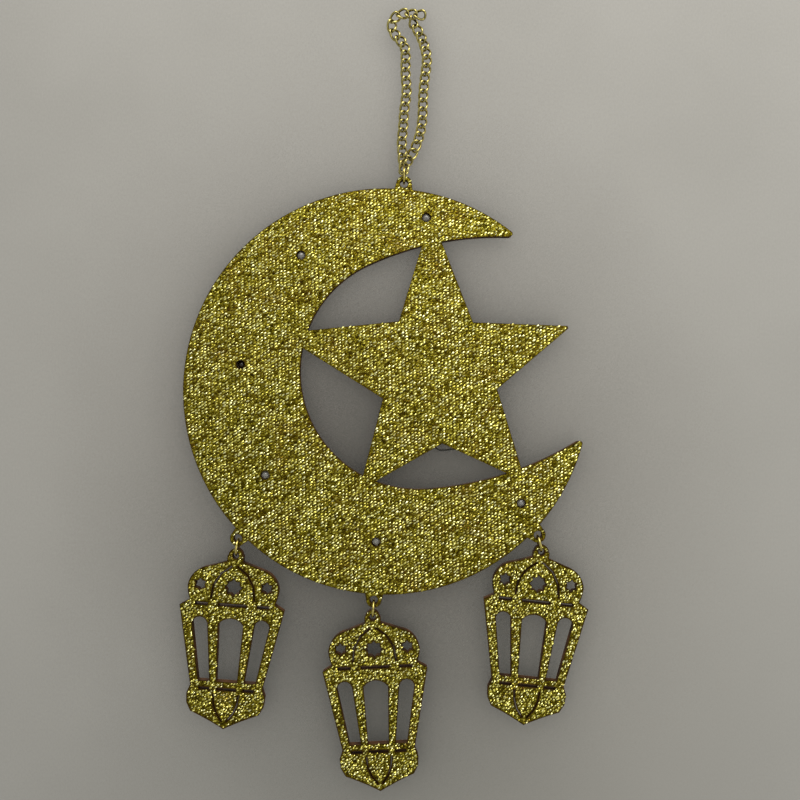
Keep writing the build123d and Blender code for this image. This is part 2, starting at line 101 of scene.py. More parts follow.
def mapRange(tree, value, low, high, first=0.0, last=1.0, kind="LINEAR"):
    node = addNode(tree, "ShaderNodeMapRange", interpolation_type=kind)
    for item, socket in zip((value, low, high, first, last), node.inputs):
        plug(tree, item, socket)
    return node.outputs[0]


def objectPlace(tree):
    return addNode(tree, "ShaderNodeTexCoord").outputs["Object"]


def pointPlace(tree):
    return addNode(tree, "GeometryNodeInputPosition").outputs[0]


def tint(red, green, blue):  # screen colour to the linear one that sockets take
    levels = [level / 255 for level in (red, green, blue)]
    return (*[x / 12.92 if x <= 0.04045 else ((x + 0.055) / 1.055) ** 2.4 for x in levels], 1.0)


def ramp(tree, factor, stops):
    node = addNode(tree, "ShaderNodeValToRGB")
    bar = node.color_ramp
    while len(bar.elements) < len(stops):
        bar.elements.new(0.5)
    for element, (place, colour) in zip(bar.elements, stops):
        element.position = place
        element.color = colour
    plug(tree, factor, node.inputs[0])
    return node.outputs[0]


def mixColour(tree, factor, first, second):
    node = addNode(tree, "ShaderNodeMix", data_type="RGBA")
    plug(tree, factor, node.inputs[0])
    plug(tree, first, node.inputs[6])
    plug(tree, second, node.inputs[7])
    return node.outputs[2]


# shader groups shared by several finishes
def mottleGroup():  # cloudy change of tone over a surface
    tree = bpy.data.node_groups.new("mottle", "ShaderNodeTree")
    addSocket(tree, "Scale", "Float", 100.0)
    addSocket(tree, "Stretch", "Vector", (1, 1, 1))
    addSocket(tree, "Low", "Float", 0.35)
    addSocket(tree, "High", "Float", 0.65)
    addSocket(tree, "Tone", "Float", way="OUTPUT")
    start = addNode(tree, "NodeGroupInput").outputs
    end = addNode(tree, "NodeGroupOutput").inputs
    cloud = addNode(tree, "ShaderNodeTexNoise")
    plug(tree, vectorMaths(tree, "MULTIPLY", objectPlace(tree), start["Stretch"]), cloud.inputs["Vector"])
    plug(tree, start["Scale"], cloud.inputs["Scale"])
    cloud.inputs["Detail"].default_value = 4.0
    plug(tree, mapRange(tree, cloud.outputs[0], start["Low"], start["High"]), end["Tone"])
    return tree


def speckGroup():  # sharp cells, each with its own tone, for grit and fibres
    tree = bpy.data.node_groups.new("speck", "ShaderNodeTree")
    addSocket(tree, "Scale", "Float", 1000.0)
    addSocket(tree, "Stretch", "Vector", (1, 1, 1))
    addSocket(tree, "Tone", "Float", way="OUTPUT")
    addSocket(tree, "Height", "Float", way="OUTPUT")
    start = addNode(tree, "NodeGroupInput").outputs
    end = addNode(tree, "NodeGroupOutput").inputs
    cells = addNode(tree, "ShaderNodeTexVoronoi")
    plug(tree, vectorMaths(tree, "MULTIPLY", objectPlace(tree), start["Stretch"]), cells.inputs["Vector"])
    plug(tree, start["Scale"], cells.inputs["Scale"])
    split = addNode(tree, "ShaderNodeSeparateColor")
    plug(tree, cells.outputs["Color"], split.inputs[0])
    plug(tree, split.outputs[0], end["Tone"])
    plug(tree, maths(tree, "SUBTRACT", 1.0, cells.outputs["Distance"]), end["Height"])
    return tree


mottle = mottleGroup()
speck = speckGroup()


def useGroup(tree, group, **values):
    node = addNode(tree, "ShaderNodeGroup", node_tree=group)
    for key, value in values.items():
        plug(tree, value, node.inputs[key])
    return node.outputs


def blankMaterial(name):
    material = bpy.data.materials.new(name)
    material.use_nodes = True
    material.node_tree.nodes.clear()
    return material, material.node_tree


def newFinish(name, **sockets):
    material, tree = blankMaterial(name)
    shader = addNode(tree, "ShaderNodeBsdfPrincipled")
    for key, value in sockets.items():
        shader.inputs[key.replace("_", " ")].default_value = value
    plug(tree, shader.outputs[0], addNode(tree, "ShaderNodeOutputMaterial").inputs[0])
    return material, tree, shader


def bump(tree, shader, height, strength, distance):
    node = addNode(tree, "ShaderNodeBump")
    node.inputs["Strength"].default_value = strength
    node.inputs["Distance"].default_value = distance
    plug(tree, height, node.inputs["Height"])
    plug(tree, node.outputs[0], shader.inputs["Normal"])


def spreadTone(tree, tone, low, high):
    return maths(tree, "MULTIPLY_ADD", tone, high - low, low)


# finishes
def glitterDashFinish():
    look = {
        "stops": [(0.0, tint(52, 40, 0)), (0.08, tint(94, 82, 4)), (0.26, tint(204, 193, 80)),
                  (0.56, tint(250, 241, 136)), (0.78, tint(255, 250, 164)), (1.0, tint(255, 251, 186))],
        "warm": tint(150, 106, 40), "warmShare": 0.45, "patch": 110.0, "patchLow": 0.55, "patchHigh": 0.72,
        "roughDark": 0.36, "roughLight": 0.2,
    }
    material, tree, shader = newFinish("glitterDash", Metallic=0.95)
    tone = addNode(tree, "ShaderNodeAttribute", attribute_name="grainTone").outputs["Fac"]
    gold = ramp(tree, tone, look["stops"])
    patch = useGroup(tree, mottle, Scale=look["patch"], Low=look["patchLow"], High=look["patchHigh"])["Tone"]
    gold = mixColour(tree, maths(tree, "MULTIPLY", patch, look["warmShare"]), gold, look["warm"])
    plug(tree, gold, shader.inputs["Base Color"])
    plug(tree, spreadTone(tree, tone, look["roughDark"], look["roughLight"]), shader.inputs["Roughness"])
    return material


def glitterGroundFinish():
    look = {
        "stops": [(0.0, tint(30, 22, 0)), (0.55, tint(90, 78, 1)), (1.0, tint(158, 145, 35))],
        "thread": 2600.0, "threadStretch": (1.0, 0.2, 1.0), "warm": tint(96, 70, 20), "warmShare": 0.3,
        "patch": 90.0, "roughDark": 0.6, "roughLight": 0.4, "relief": 0.6, "depth": 0.15 * mm,
    }
    material, tree, shader = newFinish("glitterGround", Metallic=0.95)
    fleck = useGroup(tree, speck, Scale=look["thread"], Stretch=look["threadStretch"])
    patch = useGroup(tree, mottle, Scale=look["patch"])["Tone"]
    gold = ramp(tree, fleck["Tone"], look["stops"])
    gold = mixColour(tree, maths(tree, "MULTIPLY", patch, look["warmShare"]), gold, look["warm"])
    plug(tree, gold, shader.inputs["Base Color"])
    rough = spreadTone(tree, fleck["Tone"], look["roughDark"], look["roughLight"])
    plug(tree, rough, shader.inputs["Roughness"])
    bump(tree, shader, fleck["Height"], look["relief"], look["depth"])
    return material


def boardFinish():  # brown board, its cut edge burnt dark
    look = {
        "face": tint(122, 88, 56), "fibre": tint(150, 112, 76), "stain": tint(98, 68, 42), "stainShare": 0.35,
        "burnt": tint(38, 25, 14), "scorch": tint(72, 46, 24), "burntTo": 1.37 * mm, "plainFrom": 1.44 * mm,
        "fibreScale": 420.0, "fibreStretch": (1.0, 1.0, 5.0), "stainScale": 60.0,
        "streakScale": 260.0, "streakStretch": (1.0, 0.15, 1.0),
        "roughLow": 0.7, "roughHigh": 0.9, "relief": 0.3, "depth": 0.1 * mm,
    }
    material, tree, shader = newFinish("cutBoard", Specular_IOR_Level=0.05)
    depth = splitXyz(tree, objectPlace(tree))["Y"]
    back = mapRange(tree, depth, look["burntTo"], look["plainFrom"])
    fibre = useGroup(tree, speck, Scale=look["fibreScale"], Stretch=look["fibreStretch"])
    cloud = useGroup(tree, mottle, Scale=look["stainScale"])["Tone"]
    face = mixColour(tree, fibre["Tone"], look["face"], look["fibre"])
    face = mixColour(tree, maths(tree, "MULTIPLY", cloud, look["stainShare"]), face, look["stain"])
    streak = useGroup(tree, mottle, Scale=look["streakScale"], Stretch=look["streakStretch"])["Tone"]
    edge = mixColour(tree, streak, look["burnt"], look["scorch"])
    plug(tree, mixColour(tree, back, edge, face), shader.inputs["Base Color"])
    rough = spreadTone(tree, fibre["Tone"], look["roughLow"], look["roughHigh"])
    plug(tree, rough, shader.inputs["Roughness"])
    bump(tree, shader, fibre["Height"], look["relief"], look["depth"])
    return material


def platedFinish(name, gold, tarnishAndShade, roughLow, roughHigh):
    look = {"cloud": 420.0, "cloudLow": 0.4, "cloudHigh": 0.7, "cloudShare": 0.5,
            "scratch": 2600.0, "scratchStretch": (1.0, 1.0, 0.2)}
    material, tree, shader = newFinish(name, Metallic=1.0)
    cloud = useGroup(tree, mottle, Scale=look["cloud"], Low=look["cloudLow"], High=look["cloudHigh"])["Tone"]
    scratch = useGroup(tree, mottle, Scale=look["scratch"], Stretch=look["scratchStretch"])["Tone"]
    hollowShade = addNode(tree, "ShaderNodeAttribute", attribute_name="hollowShade").outputs["Fac"]
    # the cloudy tarnish is the plating's own wear; the inner side of each loop gets the same dark colour as
    # painted shade
    wornAndShaded = maths(tree, "MAXIMUM", maths(tree, "MULTIPLY", cloud, look["cloudShare"]), hollowShade)
    plug(tree, mixColour(tree, wornAndShaded, gold, tarnishAndShade), shader.inputs["Base Color"])
    plug(tree, spreadTone(tree, scratch, roughLow, roughHigh), shader.inputs["Roughness"])
    return material


def resinFinish(name, clear, cloudy, passed):
    look = {"cloud": 900.0, "roughLow": 0.08, "roughHigh": 0.2}
    material, tree, shader = newFinish(name, Transmission_Weight=passed, IOR=1.5, Coat_Weight=0.3)
    cloud = useGroup(tree, mottle, Scale=look["cloud"])["Tone"]
    plug(tree, mixColour(tree, cloud, clear, cloudy), shader.inputs["Base Color"])
    plug(tree, spreadTone(tree, cloud, look["roughLow"], look["roughHigh"]), shader.inputs["Roughness"])
    return material


# moulded or cast, with a fine grain
def grainedFinish(name, light, dark, scale, roughLow, roughHigh, depth, **sockets):
    look = {"cloudSize": 16, "gritShare": 0.5, "relief": 0.25}
    material, tree, shader = newFinish(name, **sockets)
    grit = useGroup(tree, speck, Scale=scale)
    cloud = useGroup(tree, mottle, Scale=scale / look["cloudSize"])["Tone"]
    shade = maths(tree, "MULTIPLY", cloud, spreadTone(tree, grit["Tone"], 1 - look["gritShare"], 1.0))
    plug(tree, mixColour(tree, shade, light, dark), shader.inputs["Base Color"])
    plug(tree, spreadTone(tree, cloud, roughLow, roughHigh), shader.inputs["Roughness"])
    bump(tree, shader, grit["Height"], look["relief"], depth)
    return material


def brushedFinish(name, light, dark):
    look = {"line": 500.0, "lineStretch": (0.15, 3.0, 3.0), "roughLow": 0.22, "roughHigh": 0.42}
    material, tree, shader = newFinish(name, Metallic=1.0)
    line = useGroup(tree, mottle, Scale=look["line"], Stretch=look["lineStretch"])["Tone"]
    plug(tree, mixColour(tree, line, light, dark), shader.inputs["Base Color"])
    plug(tree, spreadTone(tree, line, look["roughLow"], look["roughHigh"]), shader.inputs["Roughness"])
    return material


finishes = {
    "dash": glitterDashFinish(),
    "ground": glitterGroundFinish(),
    "rim": grainedFinish("burntRimAndSlitShade", tint(62, 42, 8), tint(38, 25, 2), 2200.0, 0.7, 0.9, 0.03 * mm,
                         Specular_IOR_Level=0.05),
    "board": boardFinish(),
    "chain": platedFinish("chainPlate", tint(202, 188, 114), tint(64, 51, 13), 0.16, 0.3),
    "ring": platedFinish("ringPlate", tint(210, 192, 110), tint(84, 66, 20), 0.18, 0.32),
    "resin": resinFinish("lampResin", tint(190, 188, 180), tint(226, 224, 216), 0.75),
    # painted shade: the deep-set bulb is clear resin, coloured dark brown for the shade in its hole
    "deepResinShaded": resinFinish("deepResinShaded", tint(42, 34, 22), tint(60, 50, 34), 0.3),
    "chip": grainedFinish("phosphor", tint(236, 214, 96), tint(214, 176, 56), 5000.0, 0.35, 0.5, 0.02 * mm),
    "glue": grainedFinish("hotGlue", tint(238, 232, 214), tint(214, 202, 172), 1200.0, 0.15, 0.35, 0.05 * mm,
                          Transmission_Weight=0.35, IOR=1.48),
    # painted shade: the pale varnished wire is given the dark grey it shows in the shade behind the crescent
    "wire": grainedFinish("wireVarnishShaded", tint(84, 82, 76), tint(54, 52, 48), 3000.0, 0.25, 0.4, 0.02 * mm,
                          Metallic=0.5),
    "foam": grainedFinish("padFoam", tint(240, 238, 232), tint(206, 202, 192), 1500.0, 0.85, 0.95, 0.2 * mm),
    "box": grainedFinish("boxPlastic", tint(238, 236, 229), tint(224, 221, 211), 2400.0, 0.42, 0.58,
                         0.03 * mm),
    "cell": brushedFinish("cellSteel", tint(214, 214, 212), tint(178, 178, 176)),
    "contact": brushedFinish("contactSteel", tint(208, 206, 200), tint(166, 164, 158)),
    "switch": grainedFinish("switchPlastic", tint(34, 34, 35), tint(22, 22, 23), 2600.0, 0.4, 0.55,
                            0.03 * mm),
}
print("finishes made:", len(finishes))


# pieces keep their place in their mesh
def newObject(name, data):
    thing = bpy.data.objects.new(name, data)
    scene.collection.objects.link(thing)
    return thing


def newPiece(name, mesh, body, finish=None):
    piece = newObject(name, mesh)
    if finish:
        mesh.materials.clear()
        mesh.materials.append(finishes[finish])
    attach(piece, body)
    return piece


def dress(finish, *names):
    for name in names:
        node = nodes[name]
        if not node.data.materials:
            node.data.materials.append(finishes[finish])
        for index in range(len(node.data.materials)):
            node.data.materials[index] = finishes[finish]


def plainMesh(carrier):  # the mesh that an object's modifiers or bevel give
    bpy.context.view_layer.update()
    return bpy.data.meshes.new_from_object(carrier.evaluated_get(bpy.context.evaluated_depsgraph_get()))


def mergedCopy(node):  # a CAD mesh is loose triangles
    work = bmesh.new()
    work.from_mesh(nodes[node].data)
    bmesh.ops.remove_doubles(work, verts=work.verts, dist=weld)
    return work


def newTree(name, *inputs):
    tree = bpy.data.node_groups.new(name, "GeometryNodeTree")
    addSocket(tree, "Geometry", "Geometry")
    for label, kind in inputs:
        addSocket(tree, label, kind)
    addSocket(tree, "Geometry", "Geometry", way="OUTPUT")
    return tree, addNode(tree, "NodeGroupInput").outputs, addNode(tree, "NodeGroupOutput").inputs


def grow(mesh, tree, values):  # runs a tree on a mesh and gives back the plain result
    carrier = newObject("carrier", mesh)
    modifier = carrier.modifiers.new("grow", "NODES")
    modifier.node_group = tree
    for item in tree.interface.items_tree:
        if item.in_out == "INPUT" and item.name in values:
            modifier[item.identifier] = values[item.name]
    grown = plainMesh(carrier)
    carrier.modifiers.clear()
    bpy.data.objects.remove(carrier)
    return grown


def closeTree(tree, end, geometry, finish, smooth):
    shade = addNode(tree, "GeometryNodeSetShadeSmooth")
    plug(tree, geometry, shade.inputs["Geometry"])
    shade.inputs["Shade Smooth"].default_value = smooth
    cover = addNode(tree, "GeometryNodeSetMaterial")
    plug(tree, shade.outputs[0], cover.inputs["Geometry"])
    plug(tree, finish, cover.inputs["Material"])
    plug(tree, cover.outputs[0], end[0])


def randomValue(tree, seed, low, high, kind="FLOAT"):
    node = addNode(tree, "FunctionNodeRandomValue", data_type=kind)
    first = 0 if kind == "FLOAT_VECTOR" else 2
    node.inputs[first].default_value = low
    node.inputs[first + 1].default_value = high
    plug(tree, seed, node.inputs["Seed"])
    return node.outputs[0 if kind == "FLOAT_VECTOR" else 1]


def storeValue(tree, geometry, name, value, domain):
    store = addNode(tree, "GeometryNodeStoreNamedAttribute", data_type="FLOAT", domain=domain)
    plug(tree, geometry, store.inputs["Geometry"])
    store.inputs["Name"].default_value = name
    plug(tree, value, store.inputs["Value"])
    return store.outputs[0]


def wireOnCurve(tree, curve, radius, sides, caps):
    section = addNode(tree, "GeometryNodeCurvePrimitiveCircle", mode="RADIUS")
    section.inputs["Resolution"].default_value = sides
    plug(tree, radius, section.inputs["Radius"])
    body = addNode(tree, "GeometryNodeCurveToMesh")
    plug(tree, curve, body.inputs["Curve"])
    plug(tree, section.outputs["Curve"], body.inputs["Profile Curve"])
    body.inputs["Fill Caps"].default_value = caps
    return body.outputs[0]


def storeHollowShade(tree, mesh):  # how far a wire's skin faces the middle of its loop, stored as painted shade for the inner side of links and rings
    look = {"inside": -0.75, "outside": 0.35}
    outward = addNode(tree, "ShaderNodeVectorMath", operation="NORMALIZE")
    plug(tree, pointPlace(tree), outward.inputs[0])
    facing = addNode(tree, "ShaderNodeVectorMath", operation="DOT_PRODUCT")
    plug(tree, addNode(tree, "GeometryNodeInputNormal").outputs[0], facing.inputs[0])
    plug(tree, outward.outputs[0], facing.inputs[1])
    inner = mapRange(tree, facing.outputs["Value"], look["inside"], look["outside"], 1.0, 0.0, "SMOOTHSTEP")
    return storeValue(tree, mesh, "hollowShade", inner, "POINT")


# gold glitter cloth: slanted metal floats laid row by row over the facing
def glitterTree():
    look = {"rowShift": 0.38, "rayLength": 0.02, "roll": Vector((0.8, 0.22, 0.18)),
            "gradeLow": 0.7, "gradeHigh": 1.25}
    tree, start, end = newTree(
        "glitterFloats", ("Floats", "Int"), ("Rows", "Int"), ("Float gap", "Float"), ("Row gap", "Float"),
        ("Grain", "Float"), ("Length", "Float"), ("Width", "Float"), ("Height", "Float"), ("Jitter", "Float"),
        ("Reach", "Float"), ("Berth", "Float"), ("Middle", "Vector"), ("Seed", "Int"), ("Finish", "Material"))
    grid = addNode(tree, "GeometryNodeMeshGrid")
    plug(tree, maths(tree, "MULTIPLY", start["Floats"], start["Float gap"]), grid.inputs["Size X"])
    plug(tree, maths(tree, "MULTIPLY", start["Rows"], start["Row gap"]), grid.inputs["Size Y"])
    plug(tree, maths(tree, "ADD", start["Floats"], 1.0), grid.inputs["Vertices X"])
    plug(tree, maths(tree, "ADD", start["Rows"], 1.0), grid.inputs["Vertices Y"])
    # each row starts over a third of a float further on
    up = splitXyz(tree, pointPlace(tree))["Y"]
    row = maths(tree, "ROUND", maths(tree, "DIVIDE", up, start["Row gap"]))
    part = maths(tree, "FLOORED_MODULO", maths(tree, "MULTIPLY", row, look["rowShift"]), 1.0)
    shift = maths(tree, "MULTIPLY", part, start["Float gap"])
    stray = randomValue(tree, start["Seed"], (-1, -1, 0), (1, 1, 0), "FLOAT_VECTOR")
    stray = vectorMaths(tree, "SCALE", stray, start["Jitter"])
    laid = addNode(tree, "GeometryNodeSetPosition")
    plug(tree, grid.outputs["Mesh"], laid.inputs["Geometry"])
    plug(tree, vectorMaths(tree, "ADD", xyz(tree, x=shift), stray), laid.inputs["Offset"])
    upright = addNode(tree, "GeometryNodeTransform")
    plug(tree, laid.outputs[0], upright.inputs["Geometry"])
    plug(tree, start["Middle"], upright.inputs["Translation"])
    lean = maths(tree, "MULTIPLY", start["Grain"], -1.0)
    plug(tree, xyz(tree, x=math.pi / 2, y=lean), upright.inputs["Rotation"])
    # a float stays only where its middle, ends and sides have cloth under them
    cosine = maths(tree, "COSINE", start["Grain"])
    sine = maths(tree, "SINE", start["Grain"])
    along = xyz(tree, x=cosine, z=sine)
    aside = xyz(tree, x=maths(tree, "MULTIPLY", sine, -1.0), z=cosine)
    hits = []
    backed = 1.0
    for way, reach, side in ((along, "Reach", 0.0), (along, "Reach", 1.0), (along, "Reach", -1.0),
                             (aside, "Berth", 1.0), (aside, "Berth", -1.0)):
        ray = addNode(tree, "GeometryNodeRaycast")
        plug(tree, start["Geometry"], ray.inputs["Target Geometry"])
        step = vectorMaths(tree, "SCALE", way, maths(tree, "MULTIPLY", start[reach], side))
        plug(tree, vectorMaths(tree, "ADD", pointPlace(tree), step), ray.inputs["Source Position"])
        ray.inputs["Ray Direction"].default_value = (0, 1, 0)
        ray.inputs["Ray Length"].default_value = look["rayLength"]
        hits.append(ray)
        backed = maths(tree, "MULTIPLY", backed, ray.outputs["Is Hit"])
    cut = addNode(tree, "GeometryNodeDeleteGeometry", domain="POINT")
    plug(tree, upright.outputs[0], cut.inputs["Geometry"])
    plug(tree, maths(tree, "LESS_THAN", backed, 0.5), cut.inputs["Selection"])
    seated = addNode(tree, "GeometryNodeSetPosition")
    plug(tree, cut.outputs[0], seated.inputs["Geometry"])
    plug(tree, hits[0].outputs["Hit Position"], seated.inputs["Position"])
    # one float is a small faceted bead one unit across, scaled, and rolled about its own length
    bead = addNode(tree, "GeometryNodeMeshIcoSphere")
    bead.inputs["Radius"].default_value = 0.5
    bead.inputs["Subdivisions"].default_value = 1
    rollSeed = maths(tree, "ADD", start["Seed"], 1.0)
    tilt = randomValue(tree, rollSeed, -look["roll"], look["roll"], "FLOAT_VECTOR")
    roll, pitch, yaw = splitXyz(tree, tilt)
    turn = xyz(tree, roll, maths(tree, "SUBTRACT", pitch, start["Grain"]), yaw)
    grade = randomValue(tree, maths(tree, "ADD", start["Seed"], 2.0), look["gradeLow"], look["gradeHigh"])
    size = vectorMaths(tree, "SCALE", xyz(tree, start["Length"], start["Height"], start["Width"]), grade)
    spread = addNode(tree, "GeometryNodeInstanceOnPoints")
    plug(tree, seated.outputs[0], spread.inputs["Points"])
    plug(tree, bead.outputs["Mesh"], spread.inputs["Instance"])
    plug(tree, turn, spread.inputs["Rotation"])
    plug(tree, size, spread.inputs["Scale"])
    tone = randomValue(tree, maths(tree, "ADD", start["Seed"], 3.0), 0.0, 1.0)
    real = addNode(tree, "GeometryNodeRealizeInstances")
    plug(tree, storeValue(tree, spread.outputs[0], "grainTone", tone, "INSTANCE"), real.inputs[0])
    closeTree(tree, end, real.outputs[0], start["Finish"], False)
    return tree


grain = {"crescent": 34, "lantern_left": 34, "lantern_middle": 40, "lantern_right": 46}  # slant in degrees
bodies = {name: "panel" if name == "crescent" else name for name in grain}
crescentCloth = {"Float gap": 1.45 * mm, "Row gap": 0.86 * mm, "Length": 1.3 * mm, "Width": 0.6 * mm,
                 "Height": 0.62 * mm, "Jitter": 0.22 * mm, "Reach": 0.48 * mm, "Berth": 0.24 * mm,
                 "Finish": finishes["dash"]}
lanternCloth = {"Float gap": 1.14 * mm, "Row gap": 0.74 * mm, "Length": 1.0 * mm, "Width": 0.56 * mm,
                "Height": 0.6 * mm, "Jitter": 0.32 * mm, "Reach": 0.3 * mm, "Berth": 0.14 * mm,
                "Finish": finishes["dash"]}
laying = {"above": 0.01, "firstSeed": 11, "seedStep": 7}
floatTree = glitterTree()
for number, (name, slant) in enumerate(grain.items()):
    facing = nodes[name + "_facing"]
    low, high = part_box(facing.name)
    span = (high - low).length
    cloth = crescentCloth if name == "crescent" else lanternCloth
    floats = grow(facing.data.copy(), floatTree, {
        **cloth, "Floats": round(span / cloth["Float gap"]), "Rows": round(span / cloth["Row gap"]),
        "Grain": math.radians(slant), "Seed": laying["firstSeed"] + laying["seedStep"] * number,
        "Middle": ((low.x + high.x) / 2, low.y - laying["above"], (low.z + high.z) / 2)})
    newPiece(name + "_glitter", floats, bodies[name])
    print("glitter on", name, len(floats.polygons), "faces")
dress("ground", *[name + "_facing" for name in grain])


# the laser leaves a thin melted bead along every cut edge of the cloth; on the lanterns the bead is also
# painted shade, made wide to darken the slits
def rimTree():
    look = {"frontDepth": 0.02 * mm, "cornerAngle": 1.0, "sides": 5}
    tree, start, end = newTree("burntRimAndSlitShade", ("Front", "Float"), ("Bead", "Float"), ("Finish", "Material"))
    joined = addNode(tree, "GeometryNodeMergeByDistance")
    plug(tree, start["Geometry"], joined.inputs["Geometry"])
    joined.inputs["Distance"].default_value = weld
    depth = splitXyz(tree, pointPlace(tree))["Y"]
    onFront = maths(tree, "LESS_THAN", depth, maths(tree, "ADD", start["Front"], look["frontDepth"]))
    bend = addNode(tree, "GeometryNodeInputMeshEdgeAngle").outputs["Unsigned Angle"]
    corner = maths(tree, "GREATER_THAN", bend, look["cornerAngle"])
    outline = addNode(tree, "GeometryNodeMeshToCurve")
    plug(tree, joined.outputs[0], outline.inputs["Mesh"])
    plug(tree, maths(tree, "MULTIPLY", onFront, corner), outline.inputs["Selection"])
    bead = wireOnCurve(tree, outline.outputs[0], start["Bead"], look["sides"], False)
    closeTree(tree, end, bead, start["Finish"], True)
    return tree


# the lantern bead is wider than the burn, as painted shade in the narrow slits
rim = {"crescent": 0.07 * mm, "lantern": 0.18 * mm}
burntRimAndSlitShade = rimTree()
for name, body in bodies.items():
    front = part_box(name + "_facing")[0].y
    size = rim["crescent" if name == "crescent" else "lantern"]
    bead = grow(nodes[name + "_facing"].data.copy(), burntRimAndSlitShade,
                {"Front": front, "Bead": size, "Finish": finishes["rim"]})
    newPiece(name + "_rim", bead, body)
    print("rim on", name, len(bead.polygons), "faces")
dress("board", *[name + "_board" for name in grain])


# chain: smooth curb links on the places of the plain ones
def islands(node):  # corner points of each separate solid in a node
    work = mergedCopy(node)
    left = set(work.verts)
    groups = []
    for seed in list(work.verts):
        if seed not in left:
            continue
        group = []
        queue = [seed]
        left.discard(seed)
        while queue:
            corner = queue.pop()
            group.append(tuple(corner.co))
            for edge in corner.link_edges:
                other = edge.other_vert(corner)
                if other in left:
                    left.discard(other)
                    queue.append(other)
        groups.append(np.array(group))
    work.free()
    return groups


def directions(points):  # thickness, breadth and length directions of one solid
    return [Vector(way) for way in np.linalg.eigh(np.cov((points - points.mean(0)).T))[1].T]


def turnOf(points):  # length along x, breadth along y
    wide, long = directions(points)[1:]
    return Matrix((long, wide, long.cross(wide))).transposed().to_euler()


def pointMesh(name, places, turns):
    mesh = bpy.data.meshes.new(name)
    mesh.from_pydata([tuple(place) for place in places], [], [])
    turn = mesh.attributes.new("turn", "FLOAT_VECTOR", "POINT")
    turn.data.foreach_set("vector", [value for angles in turns for value in angles])
    return mesh


def placeOnPoints(tree, points, instance):
    turn = addNode(tree, "GeometryNodeInputNamedAttribute", data_type="FLOAT_VECTOR")
    turn.inputs["Name"].default_value = "turn"
    spread = addNode(tree, "GeometryNodeInstanceOnPoints")
    plug(tree, points, spread.inputs["Points"])
    plug(tree, instance, spread.inputs["Instance"])
    plug(tree, turn.outputs["Attribute"], spread.inputs["Rotation"])
    real = addNode(tree, "GeometryNodeRealizeInstances")
    plug(tree, spread.outputs[0], real.inputs[0])
    return real.outputs[0]


def linkTree():
    look = {"steps": 36, "sides": 12}
    tree, start, end = newTree("curbLinks", ("Long", "Float"), ("Wide", "Float"), ("Twist", "Float"),
                               ("Wire", "Float"), ("Finish", "Material"))
    oval = addNode(tree, "GeometryNodeCurvePrimitiveCircle", mode="RADIUS")
    oval.inputs["Resolution"].default_value = look["steps"]
    oval.inputs["Radius"].default_value = 1.0
    x, y = splitXyz(tree, pointPlace(tree))[:2]
    across = maths(tree, "MULTIPLY", x, y)
    lift = maths(tree, "MULTIPLY", across, maths(tree, "MULTIPLY", start["Twist"], 2.0))
    spot = xyz(tree, maths(tree, "MULTIPLY", x, start["Long"]), maths(tree, "MULTIPLY", y, start["Wide"]),
               lift)
    bent = addNode(tree, "GeometryNodeSetPosition")
    plug(tree, oval.outputs["Curve"], bent.inputs["Geometry"])
    plug(tree, spot, bent.inputs["Position"])
    radius = maths(tree, "MULTIPLY", start["Wire"], 0.5)
    link = wireOnCurve(tree, bent.outputs[0], radius, look["sides"], False)
    placed = placeOnPoints(tree, start["Geometry"], storeHollowShade(tree, link))
    closeTree(tree, end, placed, start["Finish"], True)
    return tree


curbLink = {"Long": 2.02 * mm, "Wide": 1.44 * mm, "Twist": 0.8 * mm, "Wire": 0.84 * mm,
            "Finish": finishes["chain"]}
links = linkTree()
for strand in ("chain_left_strand", "chain_right_strand"):
    solids = islands(strand)
    middles = [solid.mean(0) for solid in solids]
    places = pointMesh(strand + "_places", middles, [turnOf(solid) for solid in solids])
    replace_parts(newPiece(strand + "_links", grow(places, links, curbLink), "chain"), strand)
    print(strand, len(solids), "links")


# jump rings of round wire with butted ends
def ringTree():
    look = {"steps": 64, "sides": 14}
    tree, start, end = newTree("jumpRing", ("Radius", "Float"), ("Wire", "Float"), ("Split", "Float"),
                               ("Finish", "Material"))
    arc = addNode(tree, "GeometryNodeCurveArc", mode="RADIUS")
    arc.inputs["Resolution"].default_value = look["steps"]
    plug(tree, start["Radius"], arc.inputs["Radius"])
    plug(tree, maths(tree, "MULTIPLY", start["Split"], 0.5), arc.inputs["Start Angle"])
    plug(tree, maths(tree, "SUBTRACT", math.tau, start["Split"]), arc.inputs["Sweep Angle"])
    radius = maths(tree, "MULTIPLY", start["Wire"], 0.5)
    ring = wireOnCurve(tree, arc.outputs["Curve"], radius, look["sides"], True)
    placed = placeOnPoints(tree, start["Geometry"], storeHollowShade(tree, ring))
    closeTree(tree, end, placed, start["Finish"], True)
    return tree


jumpRing = {"Radius": 2.75 * mm, "Wire": 0.85 * mm, "Split": math.radians(4), "Finish": finishes["ring"]}
rings = ringTree()
for node, body in (("hang_ring", "hang_ring"), ("lantern_left_ring", "ring_left"),
                   ("lantern_middle_ring", "ring_middle"), ("lantern_right_ring", "ring_right")):
    points = islands(node)[0]
    axis = directions(points)[0]
    first = axis.orthogonal().normalized()
    second = axis.cross(first)
    flat = np.stack([points @ np.array(first), points @ np.array(second), points @ np.array(axis)], 1)
    middle = (flat.min(0) + flat.max(0)) / 2
    bearings = np.sort(np.arctan2(flat[:, 1] - middle[1], flat[:, 0] - middle[0]))
    gaps = np.diff(np.append(bearings, bearings[0] + math.tau))
    opening = bearings[gaps.argmax()] + gaps.max() / 2  # the split faces the widest gap between corners
    across = first * math.cos(opening) + second * math.sin(opening)
    turn = Matrix((across, axis.cross(across), axis)).transposed().to_euler()
    place = first * middle[0] + second * middle[1] + axis * middle[2]
    mesh = grow(pointMesh(node + "_place", [place], [turn]), rings, jumpRing)
    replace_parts(newPiece(node + "_wire", mesh, body), node)
print("rings made")
